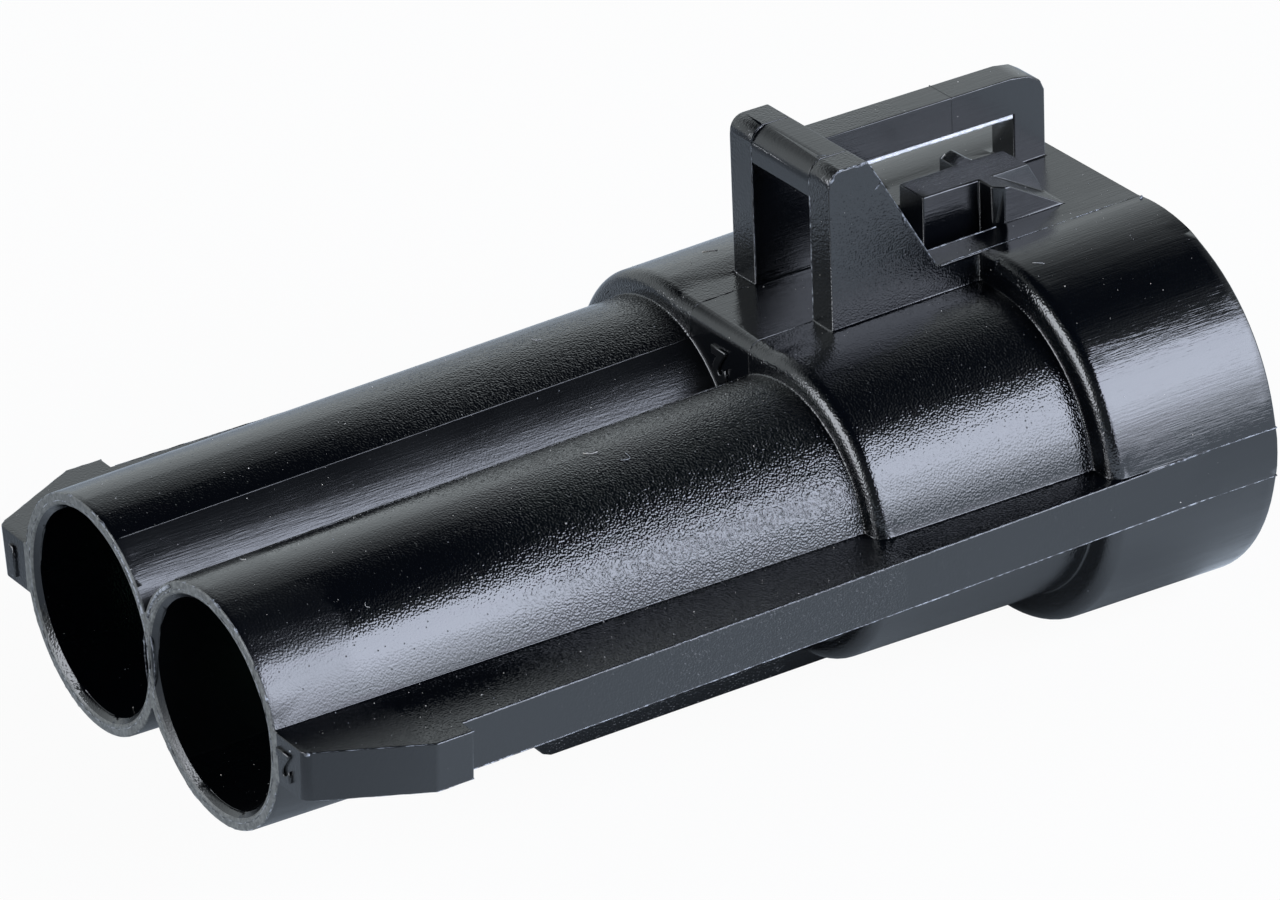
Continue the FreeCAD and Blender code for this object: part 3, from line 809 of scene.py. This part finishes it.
x = np.linspace(rail_start, length + 0.03, 900)
rail = rail_y - rail_slope * x
lobe = axis_y + np.sqrt(rear_size(rear_r, x) ** 2 - rail_z ** 2)
over = x > rear_x + edge_round
y = np.where(over, np.maximum(rail, lobe), rail)
on_lobe = over & (lobe > rail)
width = np.where(x > wide_from, 0.085, 0.055)[:, None, None]
flash = []
for side in (-1, 1):
    for level in (-1, 1):
        out = columns(0.0, side * np.where(on_lobe, 0.99, 0.75),
                      level * np.where(on_lobe, 0.14, 0.66))
        strength = ragged(900, 40 + 3 * side + level, 0.15, 0.9, 14) ** 1.5
        strength = strength + 1.2 * np.clip(x - (length - 0.4), 0, None)
        higher = np.maximum(strength, ragged(900, 45 + level, 0.5, 1.3 + 0.3 * level, 11))
        strength = np.where(x > wide_from, higher, strength)
        edge_line = columns(x, side * (y - 0.012), level * (rail_z - 0.012))
        flash.append(ridge(edge_line, out, width, 0.030, strength, 0.05))
        corners = nose + [0.0, 0.08 * (level - 1)]
        line = columns(np.interp(nose_at, nose_knots, corners[:, 0]),
                       side * np.interp(nose_at, nose_knots, corners[:, 1]),
                       level * (rail_z - 0.02))
        flash.append(ridge(line, (0, side * 0.7, level * 0.7),
                           0.05, 0.02, ragged(90, 50 + level, 0.05, 0.8, 5), 0.05))
print("flash along the rails:", len(flash), "lines")

# %% [markdown]
# The channel's edges and the guard's carry flash too. Along the near side of the channel
# it is a wider seam, and under the window it is a fin painted nearly white, a painted
# highlight along its edge.

# %% Flash on the guard, the channel and the bar
x = np.linspace(gusset_foot + 0.08, length - 0.03, 240)
flash.append(ridge(columns(x, -wall_out, rear_size(rear_flat, x)), (0, -0.5, 0.87),
                   0.06, 0.035, ragged(240, 60, 0.3, 1.3, 7), 0.05))
seam_foot = columns(x, -wall_out - 0.06, rear_size(rear_flat, x) - 0.005)
channel_seam = ridge(seam_foot, (0, -0.6, 0.8), 0.12, 0.03, ragged(240, 66, 0.6, 1.1, 9), 0.05)
x = np.linspace(gusset_foot + 0.1, ramp_x - 0.1, 120)
flash.append(ridge(columns(x, -near_in, rear_size(rear_flat, x)), (0, 0.6, 0.8),
                   0.045, 0.02, ragged(120, 61, 0.2, 1.0, 7), 0.05))
x = np.linspace(window_front + 0.1, window_rear - 0.1, 160)
window_flash = ridge(columns(x, far_in - 0.01, bar_under + 0.01), (0, -0.5, -0.87),
                     0.12, 0.09, ragged(160, 62, 0.85, 1.15, 6), 0.05)
z = np.linspace(mid_flat + 0.15, guard_top - post_round - 0.1, 110)
for y, turn in ((-near_in, 1), (far_in, -1)):
    flash.append(ridge(columns(guard_x, y, z), (-0.7, turn * 0.7, 0),
                       0.045, 0.02, ragged(110, 63, 0.1, 1.0, 5), 0.05))
line, out = post_line(-wall_out + 0.02, 15.0)
out[:, 1] = -0.6
flash.append(ridge(line, out, 0.09, 0.025, ragged(46, 64, 0.1, 1.3, 3), 0.06))
at = np.linspace(0.03, 0.97, 160)
line = columns(guard_back + at * (gusset_foot - guard_back), -wall_out,
               guard_top + at * (rear_size(rear_flat, gusset_foot) - guard_top))
flash.append(ridge(line, (0.6, -0.6, 0.35), 0.04, 0.014, ragged(160, 65, 0.0, 0.8, 6), 0.05))
print("with the guard and the channel:", len(flash), "lines")

# %% [markdown]
# Each tower mouth has a torn ring where two sleeves of the tool meet, a rubbed outer
# edge, and a thicker lip at the insert.

# %% Rims of the tower mouths
ring_r, edge_r, lip_r = 4.31, 4.59, 4.47  # mm
for side in (-1, 1):
    turn = np.linspace(0, 2 * np.pi, 361)
    torn = ring_r + 0.018 * (ragged(361, 70 + side, 0.0, 2.0, 4) - 1)
    line = columns(0.0, side * axis_y + torn * np.cos(turn), torn * np.sin(turn))
    flash.append(ridge(line, (-1, 0, 0), 0.055, 0.028, ragged(361, 72 + side, -0.1, 1.1, 4)))
    line = columns(0.03, side * axis_y + edge_r * np.cos(turn), edge_r * np.sin(turn))
    rubbed_edge = ragged(361, 74 + side, -0.7, 1.5, 3)
    flash.append(ridge(line, (-0.8, 0, 0), 0.07, 0.03, rubbed_edge, 0.05))
    turn = np.radians(np.linspace(24, 60, 90))
    lip = lip_r + 0.015 * ragged(90, 76 + side, -1, 1, 8)
    line = columns(0.0, side * (axis_y - lip * np.cos(turn)), lip * np.sin(turn))
    flash.append(ridge(line, (-1, 0, 0), 0.20, 0.05, ragged(90, 78 + side, 0.6, 1.1, 8)))
print("with the rims:", len(flash), "lines")

# %% [markdown]
# A few single nicks: where each starts and ends, the way out of the skin there, its
# width and its height, in millimetres. Each is highest in its middle. Some of them lie on
# the guard's near corner; their pale colour is partly rubbed skin, partly painted highlight.

# %% Single nicks
nicks = (
    ((29.68, -3.25, 11.10), (29.96, -3.25, 11.36), (0, -1, 0), 0.06, 0.03),
    ((30.86, -3.25, 9.80), (31.03, -3.25, 9.22), (0.5, -0.8, 0.2), 0.12, 0.05),
    ((28.80, -3.26, 12.28), (29.40, -3.20, 12.32), (0, -0.5, 0.87), 0.14, 0.05),
    ((27.70, -3.22, 11.90), (27.90, -3.24, 12.16), (-0.7, -0.5, 0.5), 0.13, 0.05),
    ((35.99, -3.19, 7.27), (36.10, -3.62, 7.27), (0, 0, 1), 0.09, 0.04),
    ((41.40, -3.62, 7.38), (41.66, -3.44, 7.42), (0, 0, 1), 0.14, 0.13),
    ((41.30, -4.30, 7.40), (41.60, -4.75, 7.37), (0, 0, 1), 0.20, 0.04),
    ((37.20, -11.60, 0.98), (37.60, -11.60, 1.00), (0, -0.8, 0.5), 0.14, 0.06),
    ((0.03, -10.74, 0.98), (0.16, -10.92, 0.98), (-0.5, -0.5, 0.7), 0.16, 0.05),
    ((0.02, -9.74, 0.66), (0.02, -9.90, 0.72), (-1, 0, 0), 0.12, 0.05),
    ((28.25, -1.60, 12.27), (28.62, -1.92, 12.31), (-0.3, 0, 1), 0.10, 0.03),
)
for start, end, out, width, height in nicks:
    at = np.linspace(0, 1, 9)[:, None]
    line = np.asarray(start) * (1 - at) + np.asarray(end) * at
    flash.append(ridge(line, out, width, height, np.sin(np.pi * at[:, 0]) * 0.9 + 0.1, 0.03))
piece_from("channel_seam", [channel_seam], nylon)
# All this flash is painted pale: torn skin, and a painted highlight for its glints.
piece_from("torn_flash", flash, torn_and_glint_painted_nylon)
# The fin under the window, painted nearly white as its highlight.
piece_from("window_flash", [window_flash], painted_highlight_nylon)

# %% [markdown]
# Plain cavity numbers stand raised on the fronts of the flags and on the middle body,
# upside down, as the part is numbered with its latch side down. They are the font's
# own outlines, given a thickness and set on those faces.

# %% Cavity numbers
letter_offset, letter_depth, letter_round = 0.025, 0.04, 0.030  # of a letter's size


def cavity_number(name, text, x, y, z, tall):
    """A raised number on a face that looks along minus X. To its right is plus Y, and its top
    is towards minus Z."""
    curve = bpy.data.curves.new(name + "_outline", "FONT")
    curve.body = text
    curve.align_x = "CENTER"
    curve.offset, curve.extrude = letter_offset, letter_depth
    curve.bevel_depth, curve.bevel_resolution = letter_round, 1
    outline = bpy.data.objects.new(name + "_outline", curve)
    scene.collection.objects.link(outline)
    bpy.context.view_layer.update()
    mesh = bpy.data.meshes.new_from_object(
        outline.evaluated_get(bpy.context.evaluated_depsgraph_get()))
    bpy.data.objects.remove(outline)
    flat = np.empty(len(mesh.vertices) * 3)
    mesh.vertices.foreach_get("co", flat)
    flat = flat.reshape(-1, 3)
    low, high = flat.min(0), flat.max(0)
    scale = tall / (high[1] - low[1])
    u, v = ((flat[:, i] - (low[i] + high[i]) / 2) * scale for i in (0, 1))
    on_face = place(columns(x - flat[:, 2] * scale, y + u, z - v))
    mesh.vertices.foreach_set("co", on_face.ravel())
    mesh.name = name
    face_outwards(mesh, 0.001)
    on_the_part(name, mesh, nylon)


cavity_number("cavity_number_near", "2", 0.0, -9.42, -0.10, 1.25)
cavity_number("cavity_number_far", "1", 0.0, 9.80, -0.10, 1.25)
cavity_number("cavity_number_middle", "2", mid_x, -0.06, 4.20, 1.40)

# %% [markdown]
# Dust settles where the part faces up, and clings to its sides. Specks are strewn over
# the housing's triangles by area and slope; each is a grain of eight faces, a few
# hundredths of a millimetre across, turned at random. A few fibres lie among them.

# %% Dust specks
def triangles_of(piece):
    """The corners of the piece's finished triangles, three by three."""
    mesh = piece.evaluated_get(bpy.context.evaluated_depsgraph_get()).to_mesh()
    mesh.calc_loop_triangles()
    corners = np.empty(len(mesh.vertices) * 3)
    mesh.vertices.foreach_get("co", corners)
    index = np.empty(len(mesh.loop_triangles) * 3, dtype=int)
    mesh.loop_triangles.foreach_get("vertices", index)
    return corners.reshape(-1, 3)[index.reshape(-1, 3)]


def strewn(corners, count, rng):
    """Random points on the triangles, likelier where those are large and face up: the place and
    the way out of the skin."""
    cross = np.cross(corners[:, 1] - corners[:, 0], corners[:, 2] - corners[:, 0])
    area = np.linalg.norm(cross, axis=1)
    out = cross / np.maximum(area, 1e-30)[:, None]
    chance = area * (0.25 + np.clip(out[:, 2], -0.25, 1.0))
    pick = rng.choice(len(corners), count, p=chance / chance.sum())
    a, b = rng.random((2, count))
    a, b = np.where(a + b > 1, 1 - a, a), np.where(a + b > 1, 1 - b, b)
    return corners[pick, 0] + a[:, None] * (corners[pick, 1] - corners[pick, 0]) \
        + b[:, None] * (corners[pick, 2] - corners[pick, 0]), out[pick]


def specks(count, smallest, largest, seed):
    """Grains of eight faces: six corners along three turned axes of uneven length, half sunk
    in the skin. The size is the smallest times their ratio to the cube of a random number."""
    rng = np.random.default_rng(seed)
    middle, out = strewn(triangles_of(housing), count, rng)
    size = smallest * (largest / smallest) ** (rng.random(count) ** 3) * mm
    first = unit(np.cross(out, rng.normal(size=(count, 3))))
    reach = size[:, None] * rng.uniform(0.5, 1.3, (count, 3))
    axes = np.stack([first, np.cross(out, first), out], axis=1) * reach[:, :, None]
    tips = np.concatenate([axes, -axes], axis=1) + middle[:, None, :]
    face = np.array([[0, 1, 2], [1, 3, 2], [3, 4, 2], [4, 0, 2],
                     [1, 0, 5], [3, 1, 5], [4, 3, 5], [0, 4, 5]])
    faces = face[None] + 6 * np.arange(count)[:, None, None]
    return tips.reshape(-1, 3), faces.reshape(-1, 3)


def fibres(count, seed):
    """Short bent hairs: arcs of 0.2 to 0.6 mm that lie on the skin."""
    rng = np.random.default_rng(seed)
    middle, out = strewn(triangles_of(housing), count, rng)
    middle = middle / mm - shift
    first = unit(np.cross(out, rng.normal(size=(count, 3))))
    second = np.cross(out, first)
    at = np.linspace(-1, 1, 9)[:, None]
    half_long, bent = rng.uniform(0.1, 0.3, count), rng.normal(0, 0.12, count)
    hairs = []
    for spot, ahead, beside, up, long, bend in zip(middle, first, second, out, half_long, bent):
        arc = spot + ahead * at * long + beside * bend * at ** 2 + up * 0.01
        hairs.append(ridge(arc, up, 0.02, 0.018, 1.0, 0.02))
    return hairs


points, faces = specks(count=2200, smallest=0.009, largest=0.036, seed=5)
dust_mesh = bpy.data.meshes.new("settled_dust")
dust_mesh.from_pydata(points.tolist(), [], faces.tolist())
on_the_part("settled_dust", dust_mesh, dust)
piece_from("stray_fibres", fibres(count=14, seed=12), dust)
